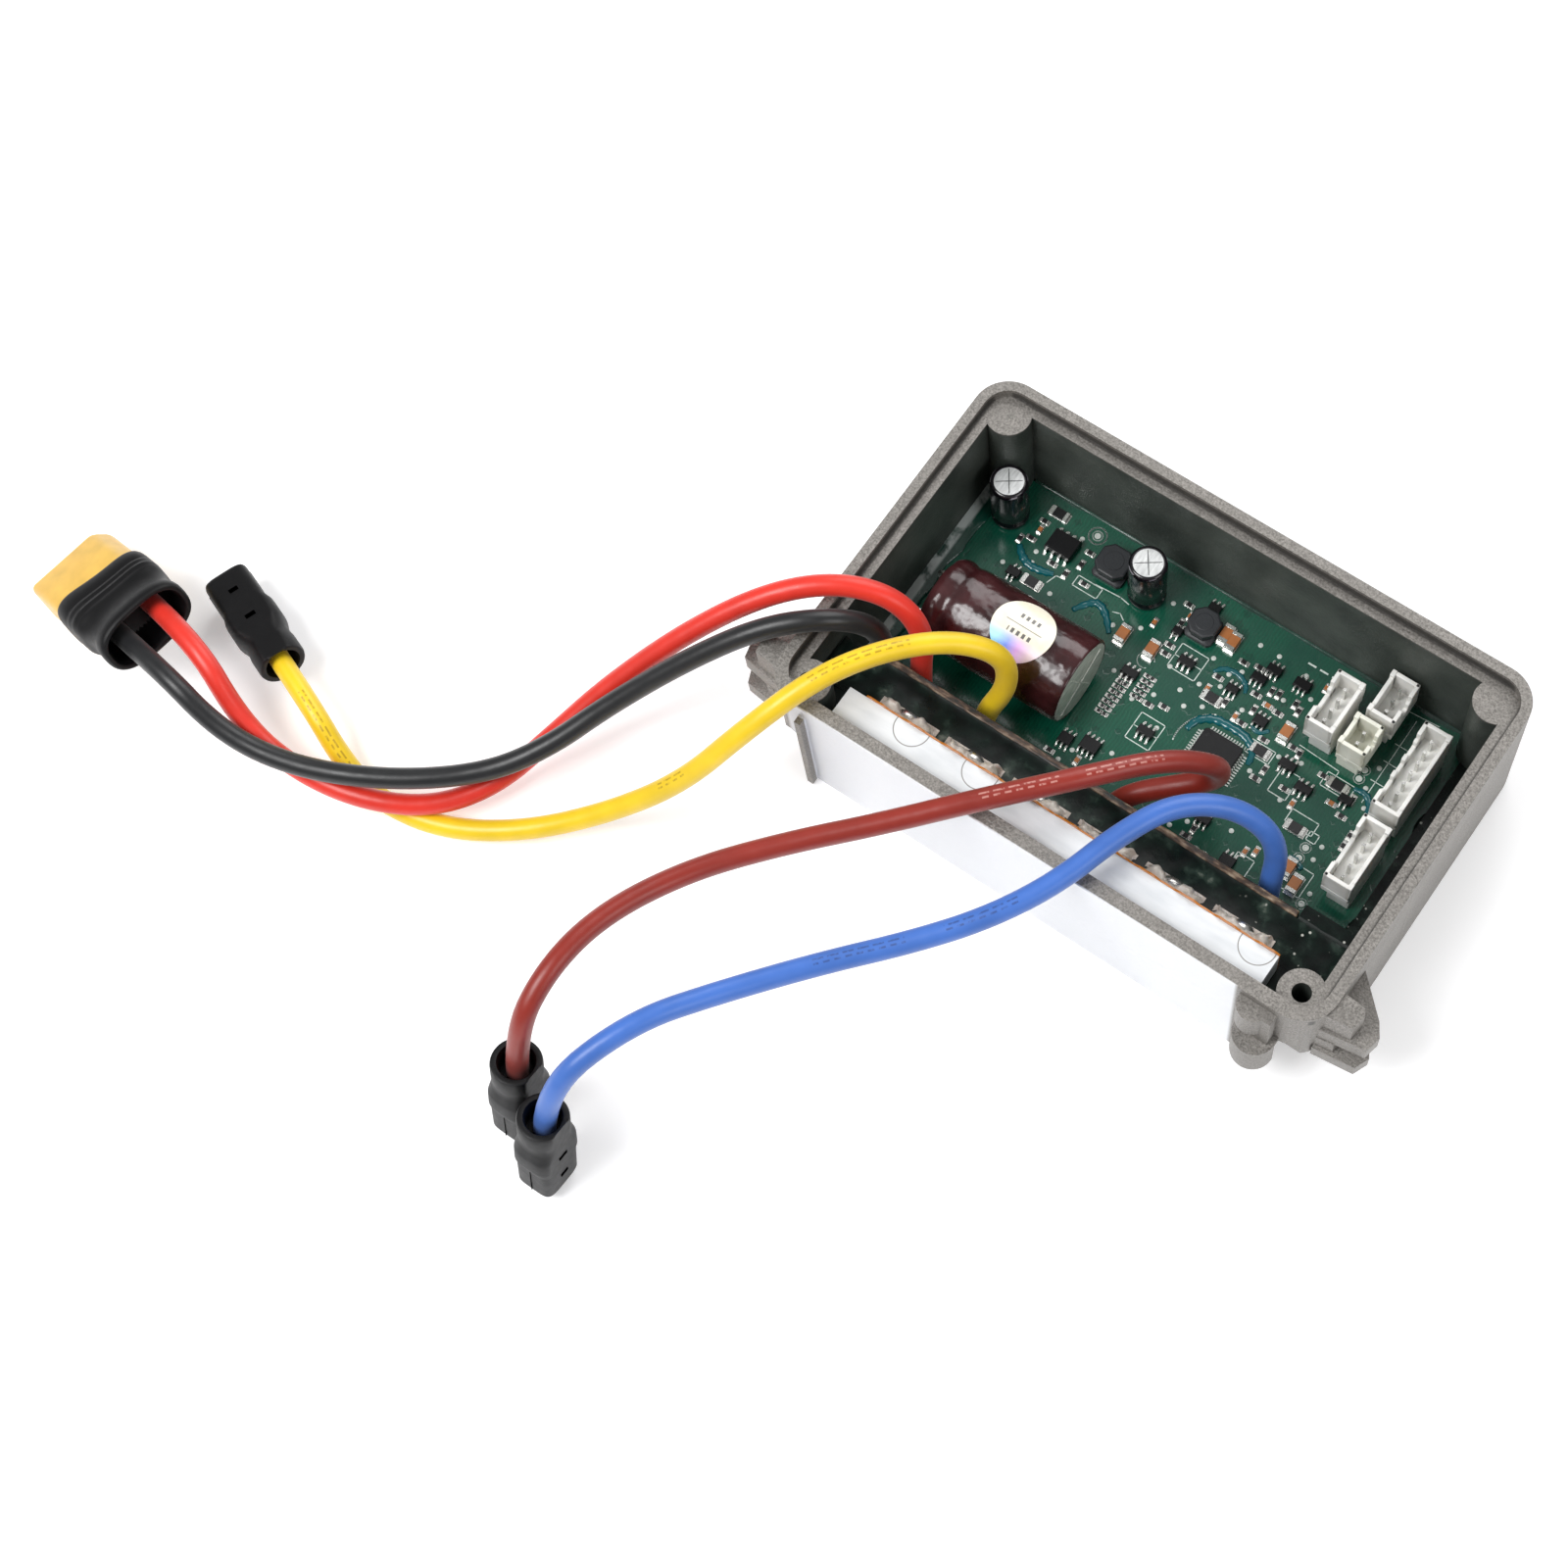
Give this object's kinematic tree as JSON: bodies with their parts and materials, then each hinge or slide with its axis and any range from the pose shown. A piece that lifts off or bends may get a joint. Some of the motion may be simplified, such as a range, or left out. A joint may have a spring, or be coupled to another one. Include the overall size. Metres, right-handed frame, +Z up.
{
  "type": "electronic speed controller",
  "caption": "Open die-cast motor controller: flat case with feet, green board, transistor bay, white headers, battery leads with a flat plug and phase leads with single-pole plugs.",
  "frame": {"origin": "centre of the case's base, on the surface that it stands on", "axes": "+X along the case's long side, +Y from the transistor bay's front wall to the back wall, +Z up out of the open case"},
  "size_m": [0.2241, 0.1434, 0.0367],
  "materials": {
    "die_cast_aluminium": "sandy as-cast, smooth front face",
    "board_green": "solder mask over glass-fibre laminate",
    "potting_black": "glossy dark green-black sealing compound",
    "laminate_edge": "bare glass-fibre laminate",
    "bar_aluminium": "smooth milled",
    "amber_film": "thin translucent film",
    "transistor_package": "moulded body on a tinned tab",
    "screw_steel": "plated",
    "capacitor_sleeve": "shrunk sleeve",
    "sticker_paper": "paper with a foil half",
    "tinned_wire": "tinned",
    "small_can": "bare can in a dark sleeve",
    "ferrite": "pressed powder",
    "chip_black": "moulded",
    "ceramic_brown": "ceramic body",
    "resistor_black": "coated ceramic",
    "header_white": "moulded",
    "gold_contact": "gold plated",
    "plug_amber": "moulded",
    "plug_black": "moulded",
    "silicone_red": "silicone jacket",
    "silicone_black": "silicone jacket",
    "silicone_yellow": "silicone jacket",
    "silicone_brown": "brown-red silicone jacket",
    "silicone_blue": "silicone jacket"
  },
  "bodies": {
    "root": {"housing": "die_cast_aluminium", "main_board": "board_green", "board_potting": "potting_black", "bay_potting": "potting_black", "power_board": "laminate_edge", "heat_bar": "bar_aluminium", "insulator_film": "amber_film", "power_transistor_1": "transistor_package", "power_transistor_2": "transistor_package", "power_transistor_3": "transistor_package", "power_transistor_4": "transistor_package", "power_transistor_5": "transistor_package", "power_transistor_6": "transistor_package", "transistor_screws": "screw_steel", "bulk_capacitor": "capacitor_sleeve", "bulk_capacitor_leads": "tinned_wire", "capacitor_sticker": "sticker_paper", "small_capacitor_1": "small_can", "small_capacitor_2": "small_can", "inductor_1": "ferrite", "inductor_2": "ferrite", "microcontroller": "chip_black", "microcontroller_leads": "tinned_wire", "gate_driver": "chip_black", "signal_transistors": "chip_black", "ceramic_capacitors": "ceramic_brown", "chip_resistors": "resistor_black", "header_1": "header_white", "header_2": "header_white", "header_3": "header_white", "header_4": "header_white", "header_5": "header_white", "header_pins": "tinned_wire", "battery_plug_body": "plug_amber", "battery_plug_contacts": "gold_contact", "battery_plug_sheath": "plug_black", "phase_plug_yellow": "plug_black", "phase_contact_yellow": "gold_contact", "phase_plug_brown": "plug_black", "phase_contact_brown": "gold_contact", "phase_plug_blue": "plug_black", "phase_contact_blue": "gold_contact", "lead_red": "silicone_red", "lead_black": "silicone_black", "lead_yellow": "silicone_yellow", "lead_brown": "silicone_brown", "lead_blue": "silicone_blue"}
  },
  "joints": []
}
